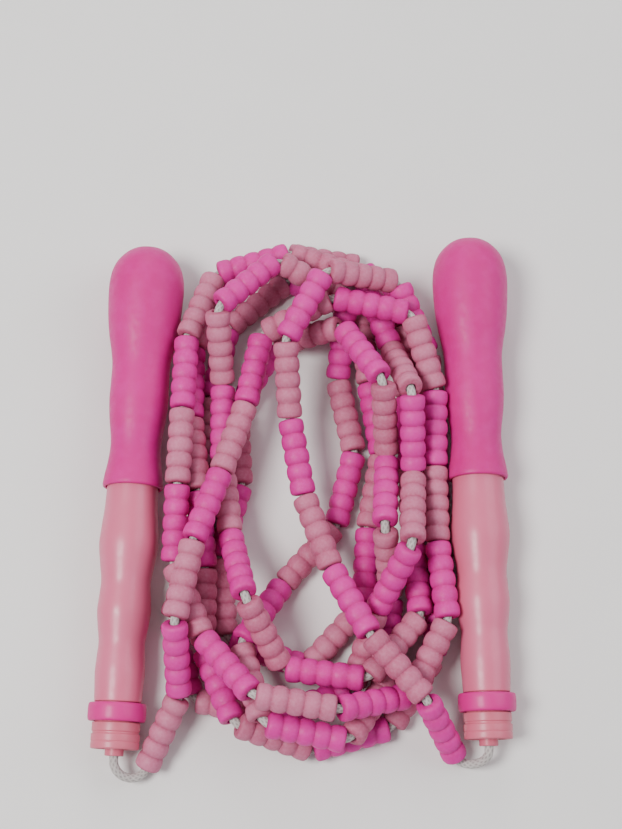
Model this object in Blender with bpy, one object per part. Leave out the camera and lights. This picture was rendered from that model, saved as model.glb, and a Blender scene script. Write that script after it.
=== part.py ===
"""Beaded jump rope: a cord strung with a hundred beads, wound in loose turns between its two handles.

The dimensions are in millimetres, and MM turns them into Blender's metres. +Z is up. The origin is
on the floor, under the middle of the two handles, and +Y runs towards their butt ends. The rope is
one body. Each handle turns freely about its own long axis, on the end of the cord.
"""
import math

import bmesh
import bpy
import numpy as np
from mathutils import Matrix, Vector

MM = 0.001
CLEARANCE = 0.3            # between two pieces that meet

# Beads and cord
BEAD_COUNT = 100
BEAD_LENGTH = 24.0
BEAD_RADIUS = 4.1
BEAD_BORE_RADIUS = 1.75
BEAD_FACE_RADIUS = 1.95    # where the chamfer of the end starts
BEAD_CHAMFER = 1.9
BEAD_PLAY = 0.3            # between the end faces of two beads in a straight line
BEAD_SIDES = 10
CORD_RADIUS = 1.4
SINGLE_BEADS = 20          # made one by one at each end of the rope
TURN_BEADS = 15            # in each plain tube that stands for the beads between
CORD_POINTS_IN_BEND = 7

# Handles: the distance along the axis is measured from the end cap's face towards the butt
HANDLE_TILT = 1.4          # degrees, as the handle lies on its collar ring and its bulb
REST_PLACE = 11.0          # where the axis is REST_HEIGHT above the floor
REST_HEIGHT = 9.0
HANDLE_SIDES = 18
NOZZLE_MOUTH = -2.0
BORE_RADIUS = 2.0
CHAMBER_FLOOR = 4.0
CHAMBER_RADIUS = 5.2
CAP_LENGTH = 8.0
SPIGOT_END = 24.0
RING_LENGTH = 5.6
TUBE_START = CAP_LENGTH + CLEARANCE + RING_LENGTH + CLEARANCE
TUBE_END = 150.0
SLEEVE_START = 81.4
BUTT_END = 162.5
WASHER_THICKNESS = 1.0
KNOT_START = 5.9
HANDLES = {
    # side: (middle of the end cap's face in X and Y, turn about Z in degrees)
    "left": ((-58.3, -82.0), 2.2),
    "right": ((56.2, -79.0), -0.7),
}
# Outer radius of a whole handle along its axis, which the beads stay clear of
HANDLE_ENVELOPE = [
    (-2, 2.9), (0, 7.9), (8, 8), (9, 9), (13.8, 9), (14.5, 7.9), (30, 7.9), (42, 8.4), (52, 8),
    (64, 9.6), (80, 9.1), (81, 9.7), (84, 9.5), (95, 8.5), (103, 9.1), (110, 9.7), (122, 9.6),
    (133, 11.4), (148, 12.4), (156, 11.4), (162.5, 4),
]

# Where the beads meet, in order from the left handle to the right one. The rope goes up from the
# left handle, round five loose turns, and comes down over them to the right handle.
ROUTE = [
    (-48.9, -87.5, 4.5), (-41, -66, 10), (-37.5, -41, 15), (-34, -18, 18), (-26, 6, 19),   # from the left
    (-18, 30, 19), (-12, 54, 17), (13, 62, 14), (35, 58, 15),                            # over the top
    (41, 33, 13), (41, 7, 12), (42, -18, 12), (43, -43, 12), (36, -63, 11),              # down the right
    (9, -71, 12), (-18, -68, 12), (-31, -49, 8),                                         # first turn
    (-39, -27, 10), (-39, -2, 11), (-38, 25, 11), (-38, 52, 11), (-28, 73, 12),
    (-10, 81, 10), (14, 68, 9), (29, 45, 10),
    (32, 23, 13), (32, -2, 14), (31, -27, 15), (23.5, -46.5, 10),
    (13, -64, 4), (-10, -70, 4), (-31, -63, 4),                                          # second turn
    (-36, -44, 4), (-33, -21, 4), (-31, 3, 4), (-30, 29, 4), (-27, 55, 4),
    (-10, 73, 4), (13, 59, 4), (19, 33, 4), (24, 10, 4), (22, -13, 4), (16, -37, 6),
    (-1, -53, 5), (-22, -47, 4), (-23, -23, 4), (-23, 3, 4), (-22, 29, 4),               # third turn
    (-16, 54, 7), (5, 51, 11), (26, 35, 12), (27, 9, 9),
    (29, -16, 5), (29, -40, 4), (26, -64, 4),
    (14, -81, 11), (-12, -75, 13), (-11, -53, 6),                                        # fourth turn
    (-6, -30, 5), (9, -11, 4), (17, 14, 4), (10, 37, 5), (14, 63, 8), (-3, 74, 14),
    (-21, 60, 13), (-26, 34, 12), (-27, 7, 12), (-23, -17, 12), (-19, -40, 11),
    (-5, -58, 11), (21, -61, 10), (34, -45, 4), (35, -21, 4), (36, 4, 4), (36, 29, 4),   # fifth turn
    (35, 55, 4), (22, 76, 4), (-2, 83, 4), (-26, 77, 4), (-33, 53, 4),
    (-35, 26, 4), (-35, 0, 4), (-35, -26, 4), (-36, -52, 6), (-29, -76, 4),
    (-4, -82, 4), (21, -75, 4), (37, -51, 4), (44, -26, 4), (45, 0, 4), (45, 26, 4),
    (40, 51, 8), (26, 73, 12), (1, 73, 18),                                              # to the right
    (-6, 47, 17), (-6, 21, 12), (-2, -4, 12), (6, -25, 20), (14, -47, 21), (34, -66, 15),
    (46.3, -84, 4.5),
]

# Laying the beads down
LAY_STEPS = 400
LAY_ROUNDS = 8
BEAD_ROOM = 2 * BEAD_RADIUS + 0.45
MOST_BEND = 50.0           # degrees between two beads, before the play at their ends
LIFT = 1.6                 # how far the upper beads start above their place in ROUTE
FALL = 0.1
FOLLOW = 0.2
LEAST_FOLLOW = 0.2          # share of FOLLOW that is left at the last step
SLIDE = 0.8                 # how freely a bead slides along the route
FLOOR_HEIGHT = BEAD_RADIUS + 0.05
NEVER_CLOSE = -99.0


# ---------------------------------------------------------------- laying the rope

def length_of(vectors):
    return np.sqrt((vectors * vectors).sum(axis=1))


def bend_cosines(joints):
    along = np.diff(joints, axis=0)
    along = along / length_of(along)[:, None]
    return np.clip((along[1:] * along[:-1]).sum(axis=1), -0.5, 1)


def half_gaps(joints, radius):
    """Half the gap at each joint: two beads bend until the edges of their end faces meet."""
    cosines = bend_cosines(joints)
    gaps = np.full(len(joints), BEAD_PLAY / 2)
    gaps[1:-1] += radius * np.sqrt((1 - cosines) / (1 + cosines))
    return gaps


def nearest_on_route(joints, route):
    """The nearest place on the route to each joint, within two beads of its own place."""
    best = route.copy()
    least = np.full(len(joints), np.inf)
    for shift in (-2, -1, 0, 1):
        first = np.clip(np.arange(len(joints)) + shift, 0, len(joints) - 2)
        along = route[first + 1] - route[first]
        reach = ((joints - route[first]) * along)[:, :2].sum(axis=1)
        share = np.clip(reach / (along * along)[:, :2].sum(axis=1), 0, 1)
        place = route[first] + share[:, None] * along
        distance = ((joints - place) ** 2)[:, :2].sum(axis=1)
        closer = distance < least
        best[closer] = place[closer]
        least[closer] = distance[closer]
    return best


def closest_approach(joints, one, other):
    """Shares along the beads `one` and `other`, and the vector between their nearest points."""
    along_one = joints[one + 1] - joints[one]
    along_other = joints[other + 1] - joints[other]
    between = joints[one] - joints[other]
    a = (along_one * along_one).sum(axis=1)
    b = (along_one * along_other).sum(axis=1)
    c = (along_one * between).sum(axis=1)
    e = (along_other * along_other).sum(axis=1)
    f = (along_other * between).sum(axis=1)
    share = np.clip((b * f - c * e) / np.maximum(a * e - b * b, 1e-6), 0, 1)
    other_share = np.clip((b * share + f) / e, 0, 1)
    share = np.clip((b * other_share - c) / a, 0, 1)
    return share, other_share, between + share[:, None] * along_one - other_share[:, None] * along_other


def keep_lengths(joints):
    gaps = half_gaps(joints, BEAD_FACE_RADIUS)
    wanted = BEAD_LENGTH + gaps[:-1] + gaps[1:]
    along = np.diff(joints, axis=0)
    found = length_of(along)
    move = 0.48 * ((found - wanted) / found)[:, None] * along
    joints[:-1] += move
    joints[1:] -= move


def keep_bends(joints):
    least = 2 * math.cos(math.radians(MOST_BEND / 2)) * (BEAD_LENGTH + 2 * BEAD_PLAY)
    across = joints[2:] - joints[:-2]
    found = length_of(across)
    move = 0.35 * (np.maximum(least - found, 0) / found)[:, None] * across
    joints[2:] += move
    joints[:-2] -= move


def keep_apart(joints, one, other):
    share, other_share, between = closest_approach(joints, one, other)
    distance = length_of(between)
    close = distance < BEAD_ROOM
    one, other, between, distance = one[close], other[close], between[close], distance[close]
    s, t = share[close], other_share[close]
    weight = (1 - s) ** 2 + s ** 2 + (1 - t) ** 2 + t ** 2
    push = (0.45 * (BEAD_ROOM - distance) / weight / np.maximum(distance, 0.001))[:, None] * between
    np.add.at(joints, one, (1 - s)[:, None] * push)
    np.add.at(joints, one + 1, s[:, None] * push)
    np.add.at(joints, other, -(1 - t)[:, None] * push)
    np.add.at(joints, other + 1, -t[:, None] * push)


def keep_off_handle(joints, cap_face, axis):
    places, radii = np.array(HANDLE_ENVELOPE, float).T
    for share in (0, 0.25, 0.5, 0.75):
        point = joints[:-1] * (1 - share) + joints[1:] * share
        along = ((point - cap_face) * axis).sum(axis=1)
        off = point - cap_face - along[:, None] * axis
        distance = length_of(off)
        radius = np.interp(along, places, radii, left=NEVER_CLOSE, right=NEVER_CLOSE)
        move = 0.6 * (np.maximum(radius + BEAD_RADIUS + 0.4 - distance, 0) / distance)[:, None] * off
        joints[:-1] += move * (1 - share)
        joints[1:] += move * share


def lay_rope():
    """Where the beads meet, once they have sunk onto the floor, the handles and each other.

    Each step pulls the joints towards the route and down. The rounds after it give every bead its
    one length, limit the bends and keep the beads clear of what they touch. Rounding at each step
    keeps the result the same on every machine.
    """
    route = np.array(ROUTE, float)
    joints = route.copy()
    joints[1:-1, 2] = FLOOR_HEIGHT + (joints[1:-1, 2] - FLOOR_HEIGHT) * LIFT
    one, other = np.triu_indices(len(joints) - 1, 2)
    for step in range(LAY_STEPS):
        hold = LEAST_FOLLOW + (1 - LEAST_FOLLOW) * (1 - step / LAY_STEPS)
        target = SLIDE * nearest_on_route(joints, route) + (1 - SLIDE) * route
        joints[:, :2] += FOLLOW * hold * (target - joints)[:, :2]
        joints[:, 2] -= FALL
        for _ in range(LAY_ROUNDS):
            keep_lengths(joints)
            keep_bends(joints)
            keep_apart(joints, one, other)
            for side in HANDLES:
                keep_off_handle(joints, *handle_line(side))
            joints[:, 2] = np.maximum(joints[:, 2], FLOOR_HEIGHT)
            joints[[0, -1]] = route[[0, -1]]
        joints = np.round(joints, 4)
    return joints


# ---------------------------------------------------------------- the frame of a handle

def handle_line(side):
    """The middle of the end cap's face, and the direction of the axis towards the butt."""
    (x, y), turn = HANDLES[side]
    turn, tilt = math.radians(turn), math.radians(HANDLE_TILT)
    height = REST_HEIGHT - REST_PLACE * math.sin(tilt)
    axis = (math.sin(turn) * math.cos(tilt), math.cos(turn) * math.cos(tilt), math.sin(tilt))
    return np.array((x, y, height)), np.array(axis)


def handle_empty(side):
    """An empty on the handle's axis, whose Z runs from the end cap's face towards the butt."""
    cap_face, axis = handle_line(side)
    empty = bpy.data.objects.new(f"{side}_handle_axis", None)
    turned_up = Vector(axis).to_track_quat("Z", "Y").to_matrix().to_4x4()
    empty.matrix_world = Matrix.Translation(Vector(cap_face) * MM) @ turned_up
    bpy.context.scene.collection.objects.link(empty)
    return empty


# ---------------------------------------------------------------- materials and shapes

def material(name, color, roughness, metallic=0.0):
    made = bpy.data.materials.new(name)
    made.use_nodes = True
    shader = made.node_tree.nodes["Principled BSDF"]
    shader.inputs["Base Color"].default_value = (*color, 1)
    shader.inputs["Roughness"].default_value = roughness
    shader.inputs["Metallic"].default_value = metallic
    made.diffuse_color = (*color, 1)
    return made


def turned_mesh(name, outline, sides):
    """A solid turned about Z from an outline of (place along Z, radius) pairs.

    An outline that starts and ends on the axis makes a solid piece. Any other outline is a closed
    loop, and makes a piece with a hole through it.
    """
    shape = bmesh.new()
    rings = []
    for place, radius in outline:
        if radius == 0:
            rings.append([shape.verts.new((0, 0, place * MM))] * sides)
            continue
        angles = [2 * math.pi * side / sides for side in range(sides)]
        ring = [(radius * math.cos(a) * MM, radius * math.sin(a) * MM, place * MM) for a in angles]
        rings.append([shape.verts.new(point) for point in ring])
    is_loop = outline[0][1] > 0
    following = rings[1:] + rings[:1] if is_loop else rings[1:]
    for ring, next_ring in zip(rings, following):
        for side in range(sides):
            after = (side + 1) % sides
            corners = [ring[side], ring[after], next_ring[after], next_ring[side]]
            shape.faces.new(list(dict.fromkeys(corners)))
    bmesh.ops.recalc_face_normals(shape, faces=shape.faces)
    mesh = bpy.data.meshes.new(name)
    shape.to_mesh(mesh)
    shape.free()
    mesh.shade_smooth()
    mesh.set_sharp_from_angle(angle=math.radians(40))
    return mesh


def add_piece(name, data, finish, parent=None, place=None):
    piece = bpy.data.objects.new(name, data)
    bpy.context.scene.collection.objects.link(piece)
    if finish.name not in data.materials:
        data.materials.append(finish)
    piece.parent = parent
    if place is not None:
        piece.matrix_world = place
    return piece


def cord_tube(name, points, radius, finish):
    """A round tube with closed ends along the points, which are in millimetres."""
    curve = bpy.data.curves.new(name, "CURVE")
    curve.dimensions = "3D"
    curve.bevel_depth = radius * MM
    curve.bevel_resolution = 2
    curve.use_fill_caps = True
    spline = curve.splines.new("POLY")
    spline.points.add(len(points) - 1)
    for point, place in zip(spline.points, points):
        point.co = (*(np.array(place) * MM), 1)
    return add_piece(name, curve, finish)


# ---------------------------------------------------------------- the handle's pieces

def end_cap_outline():
    """The plug at the cord end: a nozzle, a rim, a neck through the ring and a hollow spigot."""
    neck_end = TUBE_START + CLEARANCE
    return [
        (NOZZLE_MOUTH, BORE_RADIUS), (NOZZLE_MOUTH, 2.6), (NOZZLE_MOUTH + 0.4, 2.9), (0, 2.9),
        (0, 6.9), (0.7, 7.5), (4.3, 7.5), (4.7, 7.2), (5.1, 7.5), (CAP_LENGTH, 7.5),
        (CAP_LENGTH, 6.5), (neck_end, 6.2), (SPIGOT_END, 6.2),
        (SPIGOT_END, CHAMBER_RADIUS), (CHAMBER_FLOOR, CHAMBER_RADIUS), (CHAMBER_FLOOR, BORE_RADIUS),
    ]


def collar_ring_outline():
    start = CAP_LENGTH + CLEARANCE
    end = start + RING_LENGTH
    return [
        (start, 6.9), (start, 8.5), (start + 0.9, 9.0), (end - 0.9, 9.0), (end, 8.5), (end, 6.9),
    ]


def handle_tube_outline():
    """A tube with a swell before the sleeve, stepped down under it, and closed at the butt."""
    return [
        (TUBE_START, 6.5), (TUBE_START, 7.2), (TUBE_START + 0.3, 7.4), (23.5, 7.75), (32.5, 7.25),
        (42, 8.4), (51.5, 7.9), (63, 9.3), (74, 8.6), (SLEEVE_START + 1.5, 8.2),
        (SLEEVE_START + 2.5, 7.1),
        (TUBE_END, 7.1), (TUBE_END, 0), (TUBE_END - 3, 0), (TUBE_END - 3, 5.8),
        (SPIGOT_END + 2, 5.8), (SPIGOT_END + 2, 6.5),
    ]


def grip_sleeve_outline():
    """A soft sleeve with a flared lip and a waist, ending in a bulb round the tube's closed end."""
    return [
        (SLEEVE_START, 8.6), (SLEEVE_START, 9.4), (82.3, 9.7), (86, 9.2), (95, 8.15), (102, 8.9),
        (110, 9.6), (122, 9.5), (132, 11.2), (141, 12.15), (149, 12.4), (154.5, 11.6),
        (158.5, 9.4), (161.3, 6.3),
        (BUTT_END, 3.4), (BUTT_END, 0), (TUBE_END + CLEARANCE, 0), (TUBE_END + CLEARANCE, 7.4),
        (SLEEVE_START + 3, 7.4), (SLEEVE_START + 1.9, 8.6),
    ]


def cord_washer_outline():
    start = CHAMBER_FLOOR + CLEARANCE
    end = start + WASHER_THICKNESS
    return [(start, CORD_RADIUS + CLEARANCE), (start, 4.6), (end, 4.6), (end, CORD_RADIUS + CLEARANCE)]


def stopper_knot_outline():
    profile = [(0, 2.2), (0.9, 3.6), (2.0, 4.0), (3.1, 3.5), (4.2, 3.9), (5.4, 3.3), (6.0, 2.0)]
    start = (KNOT_START, 0)
    end = (KNOT_START + profile[-1][0], 0)
    return [start] + [(KNOT_START + place, radius) for place, radius in profile] + [end]


def closed_with_hollow(outline):
    """Splits an outline that touches the axis twice into the solid's outside and inside walls."""
    on_axis = [index for index, (_, radius) in enumerate(outline) if radius == 0]
    return outline[on_axis[1]:] + outline[:on_axis[0] + 1]


def make_handle(side, finishes):
    axis = handle_empty(side)
    outlines = {
        "end_cap": (end_cap_outline(), "hard_salmon"),
        "collar_ring": (collar_ring_outline(), "hard_pink"),
        "handle_tube": (closed_with_hollow(handle_tube_outline()), "hard_salmon"),
        "grip_sleeve": (closed_with_hollow(grip_sleeve_outline()), "soft_pink"),
    }
    for name, (outline, finish) in outlines.items():
        mesh = turned_mesh(f"{side}_{name}", outline, HANDLE_SIDES)
        add_piece(f"{side}_{name}", mesh, finishes[finish], parent=axis)
    for name, outline, finish in (
        ("cord_washer", cord_washer_outline(), "washer"),
        ("stopper_knot", stopper_knot_outline(), "cord"),
    ):
        mesh = turned_mesh(f"{side}_{name}", outline, BEAD_SIDES)
        add_piece(f"{side}_{name}", mesh, finishes[finish], parent=axis)


# ---------------------------------------------------------------- the rope's pieces

def bead_mesh(name, finish):
    half = BEAD_LENGTH / 2
    shoulder = half - BEAD_CHAMFER
    outline = [
        (-half, BEAD_BORE_RADIUS), (-half, BEAD_FACE_RADIUS), (-shoulder, BEAD_RADIUS),
        (shoulder, BEAD_RADIUS), (half, BEAD_FACE_RADIUS), (half, BEAD_BORE_RADIUS),
    ]
    mesh = turned_mesh(name, outline, BEAD_SIDES)
    mesh.materials.append(finish)
    return mesh


def bead_place(joints, gaps, index):
    start, end = joints[index], joints[index + 1]
    direction = (end - start) / np.linalg.norm(end - start)
    first_face = start + direction * gaps[index]
    second_face = end - direction * gaps[index + 1]
    middle = Vector((first_face + second_face) / 2) * MM
    return Matrix.Translation(middle) @ Vector(direction).to_track_quat("Z", "Y").to_matrix().to_4x4()


def make_single_beads(joints, gaps, finishes):
    meshes = [bead_mesh("pale_bead", finishes["pale_bead"]), bead_mesh("pink_bead", finishes["pink_bead"])]
    singles = [*range(SINGLE_BEADS), *range(BEAD_COUNT - SINGLE_BEADS, BEAD_COUNT)]
    for index in singles:
        mesh = meshes[index % 2]
        add_piece(f"bead_{index + 1:03d}", mesh, mesh.materials[0], place=bead_place(joints, gaps, index))


def ends_drawn_in(points, start_gap, end_gap):
    """The points, with the first and the last moved inwards by the given gaps."""
    points = np.array(points, float)
    first = points[1] - points[0]
    last = points[-2] - points[-1]
    points[0] += first / np.linalg.norm(first) * start_gap
    points[-1] += last / np.linalg.norm(last) * end_gap
    return points


def make_bead_turns(joints, finish):
    """Plain tubes of the beads' diameter along the turns, each a string of beads."""
    gaps = half_gaps(joints, BEAD_RADIUS)
    for start in range(SINGLE_BEADS, BEAD_COUNT - SINGLE_BEADS, TURN_BEADS):
        end = start + TURN_BEADS
        points = ends_drawn_in(joints[start:end + 1], gaps[start], gaps[end])
        cord_tube(f"beads_{start + 1:03d}_to_{end:03d}", points, BEAD_RADIUS, finish)


def cord_bend(start, start_direction, end, end_direction):
    """A smooth bend between two points, close to a circle's arc, without its two ends."""
    angle = math.acos(float(np.clip(np.dot(start_direction, end_direction), -1, 1)))
    radius = np.linalg.norm(end - start) / (2 * math.sin(angle / 2))
    reach = 4 / 3 * math.tan(angle / 4) * radius
    corners = [start, start + start_direction * reach, end - end_direction * reach, end]
    weights = [1, 3, 3, 1]
    points = []
    for step in range(1, CORD_POINTS_IN_BEND):
        t = step / CORD_POINTS_IN_BEND
        shares = [weight * t ** k * (1 - t) ** (3 - k) for k, weight in enumerate(weights)]
        points.append(sum(share * corner for share, corner in zip(shares, corners)))
    return points


def make_cord_end(side, joints, gaps, finish):
    """The cord from the stopper knot, out of the nozzle and through the single beads.

    The joints run from the handle inwards.
    """
    cap_face, axis = handle_line(side)
    knot_end = cap_face + axis * (KNOT_START - CLEARANCE)
    mouth = cap_face + axis * (NOZZLE_MOUTH - 1)
    direction = (joints[1] - joints[0]) / np.linalg.norm(joints[1] - joints[0])
    bend = cord_bend(mouth, -axis, joints[0], direction)
    strung = ends_drawn_in(joints[:SINGLE_BEADS + 1], 0, gaps[SINGLE_BEADS])
    last = strung[-1] + (strung[-2] - strung[-1]) / np.linalg.norm(strung[-2] - strung[-1])
    cord_tube(f"{side}_cord", [knot_end, mouth, *bend, *strung[:-1], last], CORD_RADIUS, finish)


def main():
    for old in list(bpy.data.objects):
        bpy.data.objects.remove(old)
    finishes = {
        "hard_salmon": material("hard_salmon", (0.74, 0.28, 0.31), 0.28),
        "hard_pink": material("hard_pink", (0.68, 0.03, 0.25), 0.3),
        "soft_pink": material("soft_pink", (0.72, 0.04, 0.28), 0.55),
        "pale_bead": material("pale_bead", (0.62, 0.28, 0.36), 0.6),
        "pink_bead": material("pink_bead", (0.68, 0.04, 0.28), 0.55),
        "cord": material("cord", (0.8, 0.78, 0.74), 0.85),
        "washer": material("washer", (0.82, 0.82, 0.8), 0.5),
    }
    for side in HANDLES:
        make_handle(side, finishes)
    joints = lay_rope()
    gaps = half_gaps(joints, BEAD_FACE_RADIUS)
    make_single_beads(joints, gaps, finishes)
    make_bead_turns(joints, finishes["pale_bead"])
    make_cord_end("left", joints, gaps, finishes["cord"])
    make_cord_end("right", joints[::-1], gaps[::-1], finishes["cord"])


main()
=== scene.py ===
"""The looks of a beaded jump rope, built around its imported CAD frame.

The rope is a braided cord strung with lobed beads, alternately pale and hot pink. It lies in loose
turns between two handles, each a soft sleeve on a hard tube with a collar ring and an end cap.
Dimensions are in millimetres, and MM turns them into Blender's metres.
"""
import math
import random

import bpy
import numpy as np
from mathutils import Matrix, Vector, noise


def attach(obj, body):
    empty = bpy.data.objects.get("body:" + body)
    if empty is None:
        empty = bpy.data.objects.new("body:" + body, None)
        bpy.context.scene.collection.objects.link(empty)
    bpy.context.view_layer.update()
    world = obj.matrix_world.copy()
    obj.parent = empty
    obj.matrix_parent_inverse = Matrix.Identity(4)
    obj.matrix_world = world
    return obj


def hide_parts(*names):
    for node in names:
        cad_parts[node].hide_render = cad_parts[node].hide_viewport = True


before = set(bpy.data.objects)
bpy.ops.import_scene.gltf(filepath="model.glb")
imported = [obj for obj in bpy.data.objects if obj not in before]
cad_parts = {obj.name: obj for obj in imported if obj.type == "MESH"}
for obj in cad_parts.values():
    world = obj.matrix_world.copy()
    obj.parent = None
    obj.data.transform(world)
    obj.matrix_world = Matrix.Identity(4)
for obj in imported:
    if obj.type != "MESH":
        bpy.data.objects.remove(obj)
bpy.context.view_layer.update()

MM = 0.001

# Beads and cord
BEAD_COUNT = 100
BEAD_LENGTH = 24.0
BEAD_RADIUS = 4.1
BEAD_BORE_RADIUS = 1.75
BEAD_FACE_RADIUS = 1.95    # of the flat end face of a CAD bead
BEAD_PLAY = 0.3            # between the end faces of two beads in a straight line
BEAD_LOBES = 5
BEAD_GROOVE_RADIUS = 3.42  # between two lobes
BEAD_TAKE_UP = 0.15        # added at each end, so that beads in a line all but touch
BEAD_END = (               # distance from the end face, radius
    (0, 2.0), (0.05, 2.6), (0.15, 3.12), (0.35, 3.56), (0.68, 3.89), (1.2, 4.06), (2.2, 4.1),
    (3.0, 4.07), (3.6, 3.97), (4.1, 3.82), (4.5, 3.63), (4.7, 3.5),
)
LOBE_STEPS = 9             # along each lobe but the two end ones
LOBE_FLATNESS = 2.5        # a higher one makes flatter crests and narrower grooves
BEAD_MOUTH = 0.2           # depth of the flare of the bore at each end face
BEAD_UNEVENNESS = 0.01     # share of its radius
BEAD_SIDES = 28
GROUP_LENGTH = 10          # beads in a stretch, whose pale and pink ones make two pieces
SINGLE_BEADS = 20          # CAD beads made one by one at each end
TURN_BEADS = 15            # beads in each plain CAD tube
CORD_RADIUS = 1.4
CORD_BEND_RADIUS = 6.0
CORD_STEP = 0.35           # where the cord shows, and CORD_STEP_INSIDE within a bead
CORD_STEP_INSIDE = 2.0
CORD_SHOWN = 3.5           # how far from each joint the cord is stepped closely
CORD_SIDES = 24
CORD_STRANDS = 6           # of the braid, in each direction
CORD_STRAND_PITCH = 2.0    # along the cord, from one strand to the next
CORD_RELIEF = 0.1
CORD_BEND_STEPS = 40       # of the bend between a nozzle and its nearest bead
WASHER_SIDES = 40
KNOT_SIDES = 48
KNOT_LENGTH = 6.0
KNOT_LOBES = 3
KNOT_TWIST = 1.9           # radians for each millimetre along the knot
KNOT_RELIEF = 0.32

# Handles: the distance along the axis is measured from the end cap's face towards the butt
HANDLE_TILT = 1.4          # degrees, as the handle lies on its collar ring and its bulb
REST_PLACE = 11.0          # where the axis is REST_HEIGHT above the floor
REST_HEIGHT = 9.0
HANDLE_SIDES = 96
NOZZLE_MOUTH = -2.0
CAP_LENGTH = 8.0
RING_START = 8.3
RING_END = 13.9
TUBE_START = 14.2
TUBE_END = 150.0
SLEEVE_START = 81.4
BUTT_END = 162.5
KNOT_START = 5.9
HANDLES = {
    # side: (middle of the end cap's face in X and Y, turn about Z in degrees)
    "left": ((-58.3, -82.0), 2.2),
    "right": ((56.2, -79.0), -0.7),
}
# Outer radius of a whole handle along its axis, which the beads stay clear of
HANDLE_ENVELOPE = [
    (-2, 2.9), (0, 7.9), (8, 8), (9, 9), (13.8, 9), (14.5, 7.9), (30, 7.9), (42, 8.4), (52, 8),
    (64, 9.6), (80, 9.1), (81, 9.7), (84, 9.5), (95, 8.5), (103, 9.1), (110, 9.7), (122, 9.6),
    (133, 11.4), (148, 12.4), (156, 11.4), (162.5, 4),
]

# Where the beads meet, in order from the left handle to the right one. The rope goes up from the
# left handle, round five loose turns, and comes down over them to the right handle.
ROUTE = [
    (-48.9, -87.5, 4.5), (-41, -66, 10), (-37.5, -41, 15), (-34, -18, 18), (-26, 6, 19),   # from the left
    (-18, 30, 19), (-12, 54, 17), (13, 62, 14), (35, 58, 15),                            # over the top
    (41, 33, 13), (41, 7, 12), (42, -18, 12), (43, -43, 12), (36, -63, 11),              # down the right
    (9, -71, 12), (-18, -68, 12), (-31, -49, 8),                                         # first turn
    (-39, -27, 10), (-39, -2, 11), (-38, 25, 11), (-38, 52, 11), (-28, 73, 12),
    (-10, 81, 10), (14, 68, 9), (29, 45, 10),
    (32, 23, 13), (32, -2, 14), (31, -27, 15), (23.5, -46.5, 10),
    (13, -64, 4), (-10, -70, 4), (-31, -63, 4),                                          # second turn
    (-36, -44, 4), (-33, -21, 4), (-31, 3, 4), (-30, 29, 4), (-27, 55, 4),
    (-10, 73, 4), (13, 59, 4), (19, 33, 4), (24, 10, 4), (22, -13, 4), (16, -37, 6),
    (-1, -53, 5), (-22, -47, 4), (-23, -23, 4), (-23, 3, 4), (-22, 29, 4),               # third turn
    (-16, 54, 7), (5, 51, 11), (26, 35, 12), (27, 9, 9),
    (29, -16, 5), (29, -40, 4), (26, -64, 4),
    (14, -81, 11), (-12, -75, 13), (-11, -53, 6),                                        # fourth turn
    (-6, -30, 5), (9, -11, 4), (17, 14, 4), (10, 37, 5), (14, 63, 8), (-3, 74, 14),
    (-21, 60, 13), (-26, 34, 12), (-27, 7, 12), (-23, -17, 12), (-19, -40, 11),
    (-5, -58, 11), (21, -61, 10), (34, -45, 4), (35, -21, 4), (36, 4, 4), (36, 29, 4),   # fifth turn
    (35, 55, 4), (22, 76, 4), (-2, 83, 4), (-26, 77, 4), (-33, 53, 4),
    (-35, 26, 4), (-35, 0, 4), (-35, -26, 4), (-36, -52, 6), (-29, -76, 4),
    (-4, -82, 4), (21, -75, 4), (37, -51, 4), (44, -26, 4), (45, 0, 4), (45, 26, 4),
    (40, 51, 8), (26, 73, 12), (1, 73, 18),                                              # to the right
    (-6, 47, 17), (-6, 21, 12), (-2, -4, 12), (6, -25, 20), (14, -47, 21), (34, -66, 15),
    (46.3, -84, 4.5),
]

# Laying the beads down
LAY_STEPS = 400
LAY_ROUNDS = 8
BEAD_ROOM = 2 * BEAD_RADIUS + 0.45
MOST_BEND = 50.0           # degrees between two beads, before the play at their ends
LIFT = 1.6                 # how far the upper beads start above their place in ROUTE
FALL = 0.1
FOLLOW = 0.2
LEAST_FOLLOW = 0.2         # share of FOLLOW that is left at the last step
SLIDE = 0.8                # how freely a bead slides along the route
LENGTH_CORRECTION = 0.48   # share of each error that one round takes away
BEND_CORRECTION = 0.35
ROOM_CORRECTION = 0.45
HANDLE_CORRECTION = 0.6
HANDLE_ROOM = 0.4          # between a bead and a handle
FLOOR_HEIGHT = BEAD_RADIUS + 0.05
NEVER_CLOSE = -99.0


# ---------------------------------------------------------------- laying the rope

def length_of(vectors):
    return np.sqrt((vectors * vectors).sum(axis=1))


def bend_cosines(joints):
    along = np.diff(joints, axis=0)
    along = along / length_of(along)[:, None]
    return np.clip((along[1:] * along[:-1]).sum(axis=1), -0.5, 1)


def half_gaps(joints, radius):
    """Half the gap at each joint: two beads bend until the edges of their end faces meet."""
    cosines = bend_cosines(joints)
    gaps = np.full(len(joints), BEAD_PLAY / 2)
    gaps[1:-1] += radius * np.sqrt((1 - cosines) / (1 + cosines))
    return gaps


def nearest_on_route(joints, route):
    """The nearest place on the route to each joint, within two beads of its own place."""
    best = route.copy()
    least = np.full(len(joints), np.inf)
    for shift in (-2, -1, 0, 1):
        first = np.clip(np.arange(len(joints)) + shift, 0, len(joints) - 2)
        along = route[first + 1] - route[first]
        reach = ((joints - route[first]) * along)[:, :2].sum(axis=1)
        share = np.clip(reach / (along * along)[:, :2].sum(axis=1), 0, 1)
        place = route[first] + share[:, None] * along
        distance = ((joints - place) ** 2)[:, :2].sum(axis=1)
        closer = distance < least
        best[closer] = place[closer]
        least[closer] = distance[closer]
    return best


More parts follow.
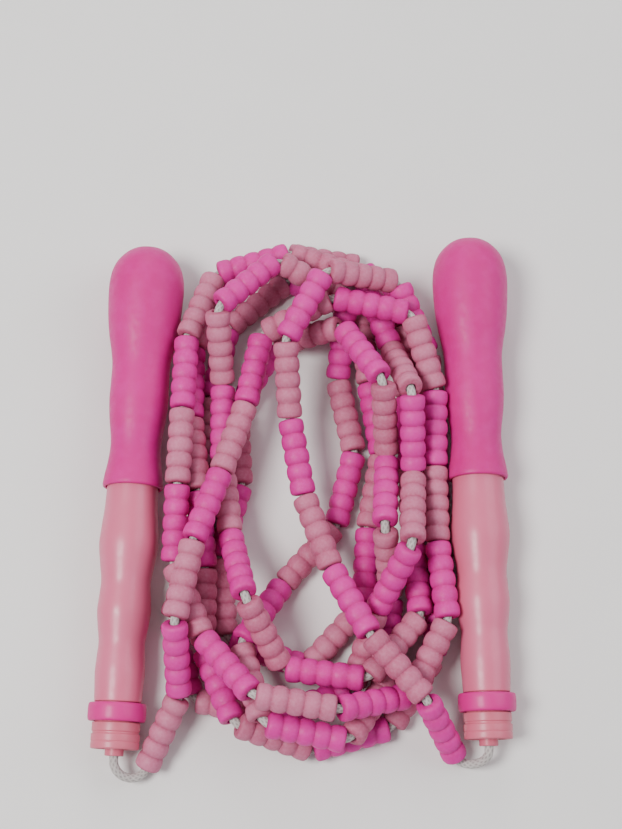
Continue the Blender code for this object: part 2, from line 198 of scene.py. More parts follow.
def closest_approach(joints, one, other):
    """Shares along the beads `one` and `other`, and the vector between their nearest points."""
    along_one = joints[one + 1] - joints[one]
    along_other = joints[other + 1] - joints[other]
    between = joints[one] - joints[other]
    a = (along_one * along_one).sum(axis=1)
    b = (along_one * along_other).sum(axis=1)
    c = (along_one * between).sum(axis=1)
    e = (along_other * along_other).sum(axis=1)
    f = (along_other * between).sum(axis=1)
    share = np.clip((b * f - c * e) / np.maximum(a * e - b * b, 1e-6), 0, 1)
    other_share = np.clip((b * share + f) / e, 0, 1)
    share = np.clip((b * other_share - c) / a, 0, 1)
    between = between + share[:, None] * along_one - other_share[:, None] * along_other
    return share, other_share, between


def keep_lengths(joints):
    gaps = half_gaps(joints, BEAD_FACE_RADIUS)
    wanted = BEAD_LENGTH + gaps[:-1] + gaps[1:]
    along = np.diff(joints, axis=0)
    found = length_of(along)
    move = LENGTH_CORRECTION * ((found - wanted) / found)[:, None] * along
    joints[:-1] += move
    joints[1:] -= move


def keep_bends(joints):
    least = 2 * math.cos(math.radians(MOST_BEND / 2)) * (BEAD_LENGTH + 2 * BEAD_PLAY)
    across = joints[2:] - joints[:-2]
    found = length_of(across)
    move = BEND_CORRECTION * (np.maximum(least - found, 0) / found)[:, None] * across
    joints[2:] += move
    joints[:-2] -= move


def keep_apart(joints, one, other):
    share, other_share, between = closest_approach(joints, one, other)
    distance = length_of(between)
    close = distance < BEAD_ROOM
    one, other, between, distance = one[close], other[close], between[close], distance[close]
    s, t = share[close], other_share[close]
    weight = (1 - s) ** 2 + s ** 2 + (1 - t) ** 2 + t ** 2
    size = ROOM_CORRECTION * (BEAD_ROOM - distance) / weight / np.maximum(distance, 0.001)
    push = size[:, None] * between
    np.add.at(joints, one, (1 - s)[:, None] * push)
    np.add.at(joints, one + 1, s[:, None] * push)
    np.add.at(joints, other, -(1 - t)[:, None] * push)
    np.add.at(joints, other + 1, -t[:, None] * push)


def keep_off_handle(joints, cap_face, axis):
    places, radii = np.array(HANDLE_ENVELOPE, float).T
    for share in (0, 0.25, 0.5, 0.75):
        point = joints[:-1] * (1 - share) + joints[1:] * share
        along = ((point - cap_face) * axis).sum(axis=1)
        off = point - cap_face - along[:, None] * axis
        distance = length_of(off)
        radius = np.interp(along, places, radii, left=NEVER_CLOSE, right=NEVER_CLOSE)
        missing = np.maximum(radius + BEAD_RADIUS + HANDLE_ROOM - distance, 0)
        move = HANDLE_CORRECTION * (missing / distance)[:, None] * off
        joints[:-1] += move * (1 - share)
        joints[1:] += move * share


def lay_rope():
    """Where the beads meet, once they have sunk onto the floor, the handles and each other.

    Each step pulls the joints towards the route and down. The rounds after it give every bead its
    one length, limit the bends and keep the beads clear of what they touch. Rounding at each step
    keeps the result the same on every machine.
    """
    route = np.array(ROUTE, float)
    joints = route.copy()
    joints[1:-1, 2] = FLOOR_HEIGHT + (joints[1:-1, 2] - FLOOR_HEIGHT) * LIFT
    one, other = np.triu_indices(len(joints) - 1, 2)
    for step in range(LAY_STEPS):
        hold = LEAST_FOLLOW + (1 - LEAST_FOLLOW) * (1 - step / LAY_STEPS)
        target = SLIDE * nearest_on_route(joints, route) + (1 - SLIDE) * route
        joints[:, :2] += FOLLOW * hold * (target - joints)[:, :2]
        joints[:, 2] -= FALL
        for _ in range(LAY_ROUNDS):
            keep_lengths(joints)
            keep_bends(joints)
            keep_apart(joints, one, other)
            for side in HANDLES:
                keep_off_handle(joints, *handle_line(side))
            joints[:, 2] = np.maximum(joints[:, 2], FLOOR_HEIGHT)
            joints[[0, -1]] = route[[0, -1]]
        joints = np.round(joints, 4)
    return joints


# ---------------------------------------------------------------- the camera's place and the light

CAMERA_TARGET = (1.8, 27.0, 0.0)
CAMERA_DISTANCE = 490.0
CAMERA_TILT = 16.0         # degrees from straight down
SENSOR_WIDTH = 36.0
FOCAL_LENGTH = 85.5
FLOOR_HALF_SIDE = 1.5      # metres, as are the lights' places and sizes
AIR_COLOR = (0.93, 0.94, 0.96)
AIR_STRENGTH = 0.4


def make_camera():
    data = bpy.data.cameras.new("camera")
    data.sensor_fit = "HORIZONTAL"
    data.sensor_width = SENSOR_WIDTH
    data.lens = FOCAL_LENGTH
    data.clip_start = 0.01
    camera = bpy.data.objects.new("camera", data)
    tilt = math.radians(CAMERA_TILT)
    back = Vector((0, -math.sin(tilt), math.cos(tilt))) * CAMERA_DISTANCE
    camera.location = (Vector(CAMERA_TARGET) + back) * MM
    camera.rotation_euler = (tilt, 0, 0)
    bpy.context.scene.collection.objects.link(camera)
    bpy.context.scene.camera = camera


def area_light(name, place, size, power, color=(1, 1, 1)):
    data = bpy.data.lights.new(name, "AREA")
    data.shape = "DISK"
    data.size = size
    data.energy = power
    data.color = color
    light = bpy.data.objects.new(name, data)
    light.location = place
    aim = Vector((0, 0, 0)) - Vector(place)
    light.rotation_euler = aim.to_track_quat("-Z", "Y").to_euler()
    bpy.context.scene.collection.objects.link(light)


def make_studio():
    area_light("key_light", (-0.45, -0.10, 0.85), size=0.38, power=10.5, color=(1.0, 0.98, 0.96))
    area_light("fill_light", (0.65, 0.15, 0.60), size=0.70, power=3.5, color=(0.96, 0.98, 1.0))
    area_light("back_light", (0.05, 0.80, 0.50), size=0.60, power=3.0)
    world = bpy.data.worlds.new("studio")
    world.use_nodes = True
    background = world.node_tree.nodes["Background"]
    background.inputs["Color"].default_value = (*AIR_COLOR, 1)
    background.inputs["Strength"].default_value = AIR_STRENGTH
    bpy.context.scene.world = world


def make_floor():
    mesh = bpy.data.meshes.new("floor")
    half = FLOOR_HALF_SIDE
    corners = [(-half, -half, 0), (half, -half, 0), (half, half, 0), (-half, half, 0)]
    mesh.from_pydata(corners, [], [(0, 1, 2, 3)])
    floor = bpy.data.objects.new("floor", mesh)
    bpy.context.scene.collection.objects.link(floor)
    floor.data.materials.append(floor_material())


# ---------------------------------------------------------------- materials

def add_node(tree, kind, inputs=None, **settings):
    """A shader node, with its settings, and its inputs set or linked by name."""
    node = tree.nodes.new("ShaderNode" + kind)
    for name, value in settings.items():
        setattr(node, name, value)
    for name, value in (inputs or {}).items():
        if isinstance(value, bpy.types.NodeSocket):
            tree.links.new(value, node.inputs[name])
        else:
            node.inputs[name].default_value = value
    return node


def noise_value(tree, place, scale, low, high, detail=3.0):
    """Noise in the object's own space, spread so that it runs from low to high."""
    cloud = add_node(tree, "TexNoise", {"Vector": place, "Scale": scale, "Detail": detail})
    spread = add_node(tree, "MapRange", {
        "Value": cloud.outputs["Fac"], "From Min": 0.3, "From Max": 0.7, "To Min": low, "To Max": high,
    })
    return spread.outputs["Result"]


def mixed(tree, share, first, second):
    mix = add_node(tree, "Mix", {0: share}, data_type="RGBA")
    for socket, value in (("A", first), ("B", second)):
        slot = next(s for s in mix.inputs if s.name == socket and s.type == "RGBA")
        if isinstance(value, bpy.types.NodeSocket):
            tree.links.new(value, slot)
        else:
            slot.default_value = (*value, 1)
    return next(s for s in mix.outputs if s.type == "RGBA")


def start_material(name):
    made = bpy.data.materials.new(name)
    made.use_nodes = True
    tree = made.node_tree
    place = add_node(tree, "TexCoord").outputs["Object"]
    return made, tree, tree.nodes["Principled BSDF"], place


def stretched(tree, place, scales):
    """The place, scaled by a different amount along each axis."""
    return add_node(tree, "Mapping", {"Vector": place, "Scale": scales}).outputs["Vector"]


def attribute_value(tree, name):
    return add_node(tree, "Attribute", attribute_name=name).outputs["Fac"]


def add_bump(tree, shader, height, distance, strength):
    bump = add_node(tree, "Bump", {"Height": height, "Distance": distance, "Strength": strength})
    tree.links.new(bump.outputs["Normal"], shader.inputs["Normal"])


def set_sockets(shader, values):
    for name, value in values.items():
        shader.inputs[name].default_value = value


def bead_material(name, color, deep, bloom, roughness):
    """Soft moulded plastic: each bead a little different, with painted shade in the grooves, at the ends
    and in the bore, and dusty all over.
    """
    made, tree, shader, place = start_material(name)
    cloudy = mixed(tree, noise_value(tree, place, 130, 0.0, 0.55), color, deep)
    tone = attribute_value(tree, "tone")
    toned = mixed(tree, tone, cloudy, bloom)
    # Painted shade: the colour is darkened towards the deep one where the bead's surface lies low, in its
    # grooves, at its ends and in its bore.
    hollow_shade = attribute_value(tree, "hollow_shade")
    hollow_shaded = mixed(tree, hollow_shade, toned, deep)
    dust = noise_value(tree, place, 1100, -0.08, 0.26, detail=6.0)
    dusty = mixed(tree, dust, hollow_shaded, bloom)
    tree.links.new(dusty, shader.inputs["Base Color"])
    rough = noise_value(tree, place, 700, roughness - 0.08, roughness + 0.12, detail=4.0)
    tree.links.new(rough, shader.inputs["Roughness"])
    grain = noise_value(tree, place, 2600, 0.0, 1.0, detail=4.0)
    add_bump(tree, shader, grain, 0.00006, 0.35)
    set_sockets(shader, {
        "Subsurface Weight": 0.12, "Subsurface Scale": 0.002, "Subsurface Radius": (1.0, 0.35, 0.5),
        "Specular IOR Level": 0.42,
    })
    return made


def hard_material(name, color, deep, roughness):
    """Glossy moulded plastic with faint flow streaks along the handle."""
    made, tree, shader, place = start_material(name)
    along = stretched(tree, place, (150, 14, 150))
    streaks = noise_value(tree, along, 1.0, 0.0, 0.35, detail=1.0)
    streaked = mixed(tree, streaks, color, deep)
    cloudy = mixed(tree, noise_value(tree, place, 55, 0.0, 0.3), streaked, deep)
    tree.links.new(cloudy, shader.inputs["Base Color"])
    rough = noise_value(tree, place, 420, roughness - 0.05, roughness + 0.1, detail=5.0)
    tree.links.new(rough, shader.inputs["Roughness"])
    ripple = noise_value(tree, stretched(tree, place, (110, 45, 110)), 1.0, 0.0, 1.0, detail=0.0)
    add_bump(tree, shader, ripple, 0.0001, 0.12)
    set_sockets(shader, {"Specular IOR Level": 0.4, "Coat Weight": 0.16, "Coat Roughness": 0.22})
    return made


def sleeve_material(name, color, deep, bloom):
    """Soft vinyl: satin, with a fine grain, pressed a little paler where it has been handled."""
    made, tree, shader, place = start_material(name)
    cloudy = mixed(tree, noise_value(tree, place, 38, 0.0, 0.5), color, deep)
    worn = mixed(tree, noise_value(tree, place, 210, -0.12, 0.22, detail=6.0), cloudy, bloom)
    tree.links.new(worn, shader.inputs["Base Color"])
    rough = noise_value(tree, place, 520, 0.40, 0.58, detail=4.0)
    tree.links.new(rough, shader.inputs["Roughness"])
    grain = noise_value(tree, place, 3800, 0.0, 1.0, detail=3.0)
    add_bump(tree, shader, grain, 0.00004, 0.4)
    set_sockets(shader, {
        "Subsurface Weight": 0.2, "Subsurface Scale": 0.004, "Subsurface Radius": (1.0, 0.3, 0.5),
        "Specular IOR Level": 0.3, "Sheen Weight": 0.04, "Sheen Roughness": 0.5,
    })
    return made


def cord_material(name, color, deep):
    """Braided white yarn, with painted shade darkening it between its strands."""
    made, tree, shader, place = start_material(name)
    # Painted shade: the attribute read here is low in the gaps between the braid's strands, and the yarn is
    # darkened there.
    strand_shade = attribute_value(tree, "strand_shade")
    yarn = mixed(tree, strand_shade, deep, color)
    soiled = mixed(tree, noise_value(tree, place, 260, -0.05, 0.25), yarn, deep)
    tree.links.new(soiled, shader.inputs["Base Color"])
    rough = noise_value(tree, place, 900, 0.75, 0.95)
    tree.links.new(rough, shader.inputs["Roughness"])
    fibres = noise_value(tree, place, 5200, 0.0, 1.0, detail=4.0)
    add_bump(tree, shader, fibres, 0.0001, 0.6)
    set_sockets(shader, {"Sheen Weight": 0.3, "Sheen Roughness": 0.5})
    return made


def washer_material(name, color, deep):
    made, tree, shader, place = start_material(name)
    cloudy = mixed(tree, noise_value(tree, place, 400, 0.0, 0.6), color, deep)
    tree.links.new(cloudy, shader.inputs["Base Color"])
    rough = noise_value(tree, place, 900, 0.4, 0.6)
    tree.links.new(rough, shader.inputs["Roughness"])
    add_bump(tree, shader, noise_value(tree, place, 3000, 0.0, 1.0), 0.00003, 0.4)
    return made


def floor_material():
    made, tree, shader, place = start_material("floor")
    cloud = noise_value(tree, place, 30, 0.0, 0.4)
    paper = mixed(tree, cloud, (0.80, 0.785, 0.775), (0.76, 0.745, 0.735))
    tree.links.new(paper, shader.inputs["Base Color"])
    tree.links.new(noise_value(tree, place, 200, 0.7, 0.85), shader.inputs["Roughness"])
    return made


def make_materials():
    return {
        "pale_bead": bead_material(
            "pale_bead", (0.51, 0.12, 0.23), (0.36, 0.05, 0.125), (0.63, 0.26, 0.38), 0.6),
        "pink_bead": bead_material(
            "pink_bead", (0.62, 0.004, 0.275), (0.46, 0.002, 0.17), (0.72, 0.04, 0.40), 0.56),
        "grip_sleeve": sleeve_material(
            "grip_sleeve", (0.58, 0.003, 0.225), (0.50, 0.001, 0.165), (0.68, 0.03, 0.33)),
        "handle_tube": hard_material(
            "handle_tube", (0.65, 0.14, 0.255), (0.58, 0.085, 0.165), 0.37),
        "end_cap": hard_material(
            "end_cap", (0.62, 0.135, 0.215), (0.53, 0.08, 0.135), 0.42),
        "collar_ring": hard_material(
            "collar_ring", (0.62, 0.001, 0.23), (0.52, 0.0005, 0.16), 0.52),
        "cord": cord_material("cord", (0.62, 0.58, 0.56), (0.24, 0.20, 0.20)),
        "washer": washer_material("washer", (0.82, 0.82, 0.80), (0.66, 0.65, 0.62)),
    }


# ---------------------------------------------------------------- shapes

def handle_line(side):
    """The middle of the end cap's face, and the direction of the axis towards the butt."""
    (x, y), turn = HANDLES[side]
    turn, tilt = math.radians(turn), math.radians(HANDLE_TILT)
    height = REST_HEIGHT - REST_PLACE * math.sin(tilt)
    axis = (math.sin(turn) * math.cos(tilt), math.cos(turn) * math.cos(tilt), math.sin(tilt))
    return np.array((x, y, height)), np.array(axis)


def placed(start, direction):
    """The matrix that takes a shape turned about Z to the start, along the direction."""
    turned = Vector(direction).to_track_quat("Z", "Y").to_matrix().to_4x4()
    return Matrix.Translation(Vector(start)) @ turned


def moved(points, matrix):
    m = np.array(matrix)
    return points @ m[:3, :3].T + m[:3, 3]


def curve_through(points, step):
    """A smooth line through the points, with a point about every step."""
    points = np.array(points, float)
    padded = np.vstack([2 * points[0] - points[1], points, 2 * points[-1] - points[-2]])
    line = [points[0]]
    for a, b, c, d in zip(padded, padded[1:], padded[2:], padded[3:]):
        count = max(1, round(float(np.linalg.norm(c - b)) / step))
        for k in range(1, count + 1):
            t = k / count
            cubic = (3 * b - a - 3 * c + d) * t ** 3
            line.append(0.5 * (2 * b + (c - a) * t + (2 * a - 5 * b + 4 * c - d) * t * t + cubic))
    return np.array(line)


def rounded(corners):
    """An outline from (place, radius, rounding) corners, each rounded by an arc of four steps."""
    line = []
    for index, (*corner, size) in enumerate(corners):
        corner = np.array(corner, float)
        if size == 0 or index in (0, len(corners) - 1):
            line.append(corner)
            continue
        before = np.array(corners[index - 1][:2], float) - corner
        after = np.array(corners[index + 1][:2], float) - corner
        reach = min(size, 0.45 * np.linalg.norm(before), 0.45 * np.linalg.norm(after))
        start = corner + before / np.linalg.norm(before) * reach
        end = corner + after / np.linalg.norm(after) * reach
        for t in (0, 0.25, 0.5, 0.75, 1):
            line.append(start * (1 - t) ** 2 + 2 * corner * t * (1 - t) + end * t ** 2)
    return np.array(line)


def turned(outline, sides, wobble=None):
    """Points and faces of a solid turned about Z from (place, radius) pairs.

    An outline that starts and ends on the axis makes a solid piece, and any other is a closed loop.
    The wobble of a point is added to its radius.
    """
    points, rings = [], []
    for place, radius in outline:
        first = len(points)
        if radius < 1e-6:
            points.append((0, 0, place))
            rings.append([first] * sides)
            continue
        for side in range(sides):
            angle = 2 * math.pi * side / sides
            r = radius + (wobble(place, angle) if wobble else 0)
            points.append((r * math.cos(angle), r * math.sin(angle), place))
        rings.append(list(range(first, first + sides)))
    following = rings[1:] + (rings[:1] if outline[0][1] > 1e-6 else [])
    faces = []
    for ring, next_ring in zip(rings, following):
        for side in range(sides):
            after = (side + 1) % sides
            corners = [ring[side], next_ring[side], next_ring[after], ring[after]]
            faces.append(list(dict.fromkeys(corners)))
    return np.array(points, float), faces


def make_piece(name, points, faces, finish, attributes=None):
    """A mesh object from points in millimetres, shaded smooth, with its point attributes."""
    mesh = bpy.data.meshes.new(name)
    mesh.from_pydata((np.array(points) * MM).tolist(), [], faces)
    for key, values in (attributes or {}).items():
        layer = mesh.attributes.new(key, "FLOAT", "POINT")
        layer.data.foreach_set("value", np.array(values, np.float32))
    mesh.validate()
    mesh.shade_smooth()
    mesh.set_sharp_from_angle(angle=math.radians(50))
    mesh.materials.append(finish)
    piece = bpy.data.objects.new(name, mesh)
    bpy.context.scene.collection.objects.link(piece)
    return piece


def stand_for(piece, body, nodes):
    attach(piece, body)
    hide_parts(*nodes)
    return piece


# ---------------------------------------------------------------- the handles

def end_cap_outline():
    return rounded([
        (NOZZLE_MOUTH, 2.3, 0), (NOZZLE_MOUTH, 2.9, 0.5), (0.5, 2.95, 0.4), (0.5, 6.2, 0.3),
        (0, 6.4, 0.15), (0, 7.45, 0.6), (2.0, 7.5, 0.1), (2.15, 7.36, 0.1), (2.35, 7.36, 0.1),
        (2.5, 7.5, 0.1), (4.45, 7.52, 0.1), (4.65, 7.1, 0.1), (5.2, 7.1, 0.1), (5.4, 7.4, 0.12),
        (CAP_LENGTH, 7.4, 0.3),
        (CAP_LENGTH, 6.5, 0.2), (14.5, 6.2, 0.2), (24, 6.2, 0.5), (24, 5.2, 0.2), (4, 5.2, 0.3),
        (4, 2.0, 0.3), (NOZZLE_MOUTH, 2.0, 0.2),
    ])


def collar_ring_outline():
    return rounded([
        (11.0, 6.9, 0), (RING_START, 6.9, 0.3), (RING_START, 8.75, 0.8), (9.6, 8.98, 0.8),
        (12.6, 8.98, 0.8), (RING_END, 8.75, 0.8), (RING_END, 6.9, 0.3),
    ])


def handle_tube_outline():
    inside = rounded([
        (TUBE_END - 3, 0, 0), (TUBE_END - 3, 5.8, 1.0), (26, 5.8, 0.3), (26, 6.5, 0.2),
        (TUBE_START, 6.5, 0.3), (TUBE_START, 7.35, 0.4), (15.2, 7.38, 0),
    ])
    outside = curve_through([
        (15.2, 7.38), (19, 7.6), (23.5, 7.8), (28, 7.52), (32.5, 7.25), (37, 7.85), (42, 8.42),
        (47, 8.1), (51.5, 7.85), (57, 8.6), (63, 9.35), (69, 8.95), (75, 8.4), (82.8, 8.15),
    ], 1.0)
    hidden = rounded([(82.8, 8.15, 0), (84, 7.1, 0.4), (TUBE_END, 7.1, 1.5), (TUBE_END, 0, 0)])
    return np.vstack([inside, outside[1:], hidden[1:]])


def grip_sleeve_outline():
    inside = rounded([
        (TUBE_END + 0.3, 0, 0), (TUBE_END + 0.3, 7.4, 1.0), (84.6, 7.4, 0.3), (83.3, 8.6, 0.3),
        (SLEEVE_START, 8.6, 0.15), (SLEEVE_START, 9.55, 0.5), (82.3, 9.75, 0),
    ])
    outside = curve_through([
        (82.3, 9.75), (85, 9.4), (90, 8.55), (95, 8.15), (99, 8.45), (104, 9.15), (110, 9.6),
        (116, 9.5), (122, 9.5), (127, 10.2), (132, 11.15), (138, 11.9), (144, 12.3), (149, 12.4),
        (153.5, 11.85), (157, 10.5), (160, 8.1), (161.8, 5.6), (BUTT_END, 3.4),
    ], 1.0)
    outside[:, 0] = np.minimum(outside[:, 0], BUTT_END)
    return np.vstack([inside, outside[1:], [(BUTT_END, 0)]])


def washer_outline():
    return rounded([
        (4.8, 1.75, 0), (4.3, 1.75, 0.2), (4.3, 4.6, 0.25), (5.3, 4.6, 0.25), (5.3, 1.75, 0.2),
    ])


def knot_outline():
    line = curve_through([
        (0, 1.4), (0.7, 3.1), (2.0, 3.75), (3.1, 3.4), (4.2, 3.7), (5.4, 2.9), (KNOT_LENGTH, 1.2),
    ], 0.3)
    line[:, 0] = np.clip(line[:, 0], 0, KNOT_LENGTH)
    return np.vstack([[(0, 0)], line, [(KNOT_LENGTH, 0)]]) + (KNOT_START, 0)


def soft_wobble(seed, size, reach):
    """A slow unevenness of a turned surface, as moulded plastic has, always inwards."""
    def wobble(place, angle):
        spot = Vector((math.cos(angle) * 6, math.sin(angle) * 6, place)) / reach
        return size * (noise.noise(spot + Vector((seed, seed * 0.37, 0))) - 0.6)
    return wobble


def knot_wobble(place, angle):
    return KNOT_RELIEF * math.cos(KNOT_LOBES * angle - KNOT_TWIST * place)


def make_handle(side, seed, finishes):
    start, axis = handle_line(side)
    matrix = placed(start, axis)
    body = f"{side}_handle"
    parts = [
        ("end_cap", end_cap_outline(), "end_cap", None),
        ("collar_ring", collar_ring_outline(), "collar_ring", None),
        ("handle_tube", handle_tube_outline(), "handle_tube", soft_wobble(seed, 0.06, 14)),
        ("grip_sleeve", grip_sleeve_outline(), "grip_sleeve", soft_wobble(seed + 3, 0.12, 16)),
    ]
    for name, outline, slot, wobble in parts:
        points, faces = turned(outline, HANDLE_SIDES, wobble)
        piece = make_piece(f"{name}_{side}", moved(points, matrix), faces, finishes[slot])
        stand_for(piece, body, [f"{side}_{name}"])


def make_cord_stop(side, finishes):
    """The washer and the stopper knot inside the end cap, which stay on the cord."""
    matrix = placed(*handle_line(side))
    points, faces = turned(washer_outline(), WASHER_SIDES)
    washer = make_piece(f"cord_washer_{side}", moved(points, matrix), faces, finishes["washer"])
    stand_for(washer, "rope", [f"{side}_cord_washer"])
    points, faces = turned(knot_outline(), KNOT_SIDES, knot_wobble)
    # Painted shade for the cord material: darker in the valleys between the knot's twisted lobes.
    strand_shade = [0.5 + 0.5 * knot_wobble(z, math.atan2(y, x)) / KNOT_RELIEF for x, y, z in points]
    knot = make_piece(
        f"stopper_knot_{side}", moved(points, matrix), faces, finishes["cord"], {"strand_shade": strand_shade})
    stand_for(knot, "rope", [f"{side}_stopper_knot"])
    return [washer, knot]


# ---------------------------------------------------------------- the beads

def bead_radius(from_face, lobe_length):
    """Radius at a distance from a bead's nearer end face: blunt end lobes, then rounded lobes."""
    if from_face < lobe_length:
        places, radii = np.array(BEAD_END, float).T
        return float(np.interp(from_face, places, radii))
    crest = 1 - abs(2 * (from_face / lobe_length % 1) - 1) ** LOBE_FLATNESS
    return BEAD_GROOVE_RADIUS + (BEAD_RADIUS - BEAD_GROOVE_RADIUS) * crest


def bead_outline():
    """A bead's outline: its lobes from end to end, then its bore."""
    half = BEAD_LENGTH / 2 + BEAD_TAKE_UP
    lobe_length = 2 * half / BEAD_LOBES
    ends = [place for place, _ in BEAD_END]
    steps = LOBE_STEPS * (BEAD_LOBES - 2)
    lobes = [lobe_length * (1 + step / LOBE_STEPS) for step in range(steps + 1)]
    places = [*ends, *lobes, *(2 * half - place for place in reversed(ends))]
    outside = [
        (place - half, bead_radius(min(place, 2 * half - place), lobe_length)) for place in places
    ]
    flare = BEAD_BORE_RADIUS + BEAD_MOUTH / 2
    inside = [
        (half - BEAD_MOUTH / 4, flare), (half - BEAD_MOUTH, BEAD_BORE_RADIUS),
        (-half + BEAD_MOUTH, BEAD_BORE_RADIUS), (-half + BEAD_MOUTH / 4, flare),
    ]
    return outside + inside


def bead_place(joints, gaps, index):
    start, end = joints[index], joints[index + 1]
    direction = (end - start) / np.linalg.norm(end - start)
    first_face = start + direction * gaps[index]
    second_face = end - direction * gaps[index + 1]
    return placed((first_face + second_face) / 2, direction)


def cad_node_of(index):
    """The CAD node that holds the bead."""
    if index < SINGLE_BEADS or index >= BEAD_COUNT - SINGLE_BEADS:
        return f"bead_{index + 1:03d}"
    first = SINGLE_BEADS + (index - SINGLE_BEADS) // TURN_BEADS * TURN_BEADS
    return f"beads_{first + 1:03d}_to_{first + TURN_BEADS:03d}"


def make_beads(joints, gaps, finishes):
    """Every bead, joined into one piece for each colour in each stretch of the rope."""
    outline = bead_outline()
    shape, faces = turned(outline, BEAD_SIDES)
    radii = np.hypot(shape[:, 0], shape[:, 1])
    # Painted shade, kept per point: the further a point lies below the lobes' crests, in a groove, at an
    # end or in the bore, the darker the material paints it.
    depth = np.clip((BEAD_RADIUS - radii) / (BEAD_RADIUS - BEAD_GROOVE_RADIUS), 0, 1)
    hollow_shade = 0.75 * depth ** 1.5
    chance = random.Random(11)
    groups = []
    for first in range(0, BEAD_COUNT, GROUP_LENGTH):
        for parity, slot in enumerate(("pale_bead", "pink_bead")):
            points, all_faces, tones, grooves = [], [], [], []
            beads = range(first + parity, first + GROUP_LENGTH, 2)
            for index in beads:
                seed = Vector((index * 7.3, chance.uniform(0, 50), 0))
                roll = Matrix.Rotation(chance.uniform(0, 2 * math.pi), 4, "Z")
                bumps = [noise.noise(Vector(point) * 0.3 + seed) for point in shape]
                swell = [1 - BEAD_UNEVENNESS * (1 - bump) for bump in bumps]
                uneven = shape * np.array([(s, s, 1) for s in swell])
                all_faces += [[i + len(tones) for i in face] for face in faces]
                points.append(moved(uneven, bead_place(joints, gaps, index) @ roll))
                tones += [chance.uniform(0.0, 0.22)] * len(shape)
                grooves += hollow_shade.tolist()
            name = f"{slot}s_{first + 1:03d}_to_{first + GROUP_LENGTH:03d}"
            attributes = {"tone": tones, "hollow_shade": grooves}
            piece = make_piece(name, np.vstack(points), all_faces, finishes[slot], attributes)
            groups.append(stand_for(piece, "rope", sorted({cad_node_of(i) for i in beads})))
    return groups


# ---------------------------------------------------------------- the cord

def cord_bend(start, start_direction, end, end_direction, count):
    """A smooth bend between two points, close to a circle's arc, without its two ends."""
    angle = math.acos(float(np.clip(np.dot(start_direction, end_direction), -1, 1)))
    radius = np.linalg.norm(end - start) / (2 * math.sin(angle / 2))
    reach = 4 / 3 * math.tan(angle / 4) * radius
    corners = [start, start + start_direction * reach, end - end_direction * reach, end]
    points = []
    for step in range(1, count):
        t = step / count
        shares = [weight * t ** k * (1 - t) ** (3 - k) for k, weight in enumerate((1, 3, 3, 1))]
        points.append(sum(share * corner for share, corner in zip(shares, corners)))
    return points


def corner_arc(before, corner, after):
    """The cord's arc where two beads meet at an angle."""
    back = (before - corner) / np.linalg.norm(before - corner)
    ahead = (after - corner) / np.linalg.norm(after - corner)
    bend = math.pi - math.acos(float(np.clip(np.dot(back, ahead), -1, 1)))
    reach = CORD_BEND_RADIUS * math.tan(bend / 2)
    start, end = corner + back * reach, corner + ahead * reach
    count = max(2, round(CORD_BEND_RADIUS * bend / 0.7))
    return [start, *cord_bend(start, -back, end, ahead, count), end]


def handle_stretch(side, first_joint, second_joint):
    """The cord from its stopper knot, through the nozzle, to the mouth of the nearest bead."""
    cap_face, axis = handle_line(side)
    knot_end = cap_face + axis * (KNOT_START - 0.3)
    mouth = cap_face + axis * (NOZZLE_MOUTH - 1)
    direction = (second_joint - first_joint) / np.linalg.norm(second_joint - first_joint)
    return [knot_end, mouth, *cord_bend(mouth, -axis, first_joint, direction, CORD_BEND_STEPS), first_joint]


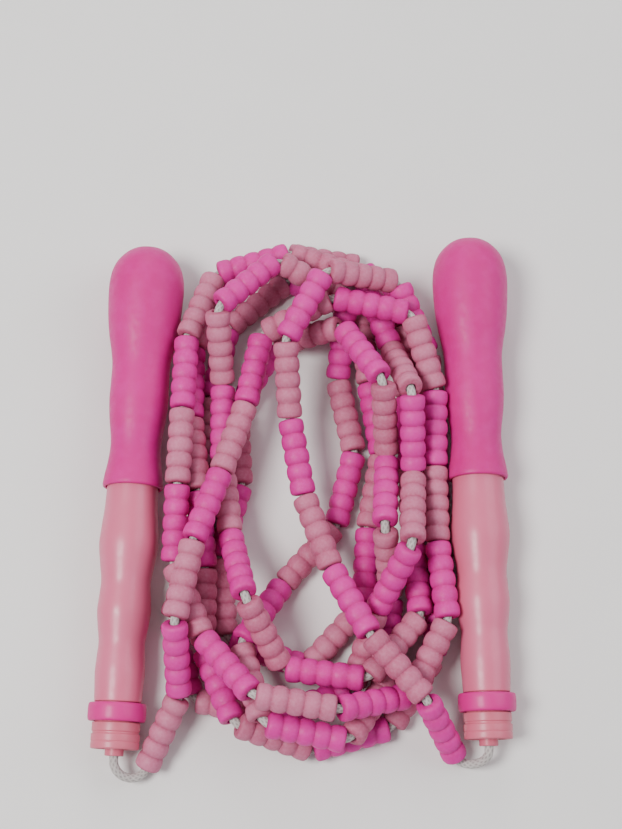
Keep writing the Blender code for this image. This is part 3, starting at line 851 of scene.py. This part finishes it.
def cord_path(joints):
    """The cord's centre line, closely stepped where it shows, and the distance along it."""
    line = handle_stretch("left", joints[0], joints[1])
    mouths = [len(line) - 1]
    for before, corner, after in zip(joints, joints[1:], joints[2:]):
        arc = corner_arc(before, corner, after)
        mouths.append(len(line) + len(arc) // 2)
        line += arc
    mouths.append(len(line))
    line = np.array(line + handle_stretch("right", joints[-1], joints[-2])[::-1])
    travelled = np.concatenate([[0], np.cumsum(length_of(np.diff(line, axis=0)))])
    marks = [*np.arange(0, travelled[mouths[0]], CORD_STEP)]
    for first, last in zip(travelled[mouths], travelled[mouths[1:]]):
        near = np.arange(0, CORD_SHOWN, CORD_STEP)
        steps = round(BEAD_LENGTH / CORD_STEP_INSIDE)
        inside = np.linspace(first + CORD_SHOWN, last - CORD_SHOWN, steps)
        marks += [*(first + near), *inside, *(last - near[:0:-1])]
    marks += [*np.arange(travelled[mouths[-1]], travelled[-1], CORD_STEP), travelled[-1]]
    marks = np.array(marks)
    path = np.stack([np.interp(marks, travelled, line[:, k]) for k in range(3)], axis=1)
    return path, marks


def make_cord(joints, finishes):
    """A tube along the path with the raised strands of a braid, which cross both ways round, and painted
    shade in the gaps between them.
    """
    path, marks = cord_path(joints)
    tangents = np.gradient(path, marks, axis=0)
    tangents /= length_of(tangents)[:, None]
    across = np.cross(tangents[0], (0, 0, 1))
    angles = 2 * math.pi * np.arange(CORD_SIDES) / CORD_SIDES
    points, strand_shade = [], []
    for centre, tangent, mark in zip(path, tangents, marks):
        across = across - tangent * np.dot(across, tangent)
        across /= np.linalg.norm(across)
        upward = np.cross(tangent, across)
        turn = 2 * math.pi * mark / CORD_STRAND_PITCH
        one_way = np.cos(CORD_STRANDS * angles + turn)
        other_way = np.cos(CORD_STRANDS * angles - turn)
        crossing = np.maximum(one_way, other_way)
        radius = CORD_RADIUS - CORD_RELIEF * (1 - crossing) / 2
        ring = np.cos(angles)[:, None] * across + np.sin(angles)[:, None] * upward
        points.append(centre + radius[:, None] * ring)
        # Painted shade for the cord material: high where the strands cross, low in the gaps between them.
        strand_shade += (0.5 + 0.5 * crossing).tolist()
    index = np.arange(len(path) * CORD_SIDES).reshape(len(path), CORD_SIDES)
    following = np.roll(index, -1, axis=1)
    faces = np.stack([index[:-1], following[:-1], following[1:], index[1:]], axis=2).reshape(-1, 4)
    faces = [*faces.tolist(), index[0][::-1].tolist(), index[-1].tolist()]
    cord = make_piece("braided_cord", np.vstack(points), faces, finishes["cord"], {"strand_shade": strand_shade})
    stand_for(cord, "rope", ["left_cord", "right_cord"])
    return cord, path, marks[-1]


def main():
    make_camera()
    finishes = make_materials()
    joints = lay_rope()
    gaps = half_gaps(joints, BEAD_FACE_RADIUS)
    cord, path, length = make_cord(joints, finishes)
    groups = make_beads(joints, gaps, finishes)
    stops = [stop for side in HANDLES for stop in make_cord_stop(side, finishes)]
    for seed, side in enumerate(HANDLES):
        make_handle(side, 5.0 + 9.0 * seed, finishes)
    make_floor()
    make_studio()


main()
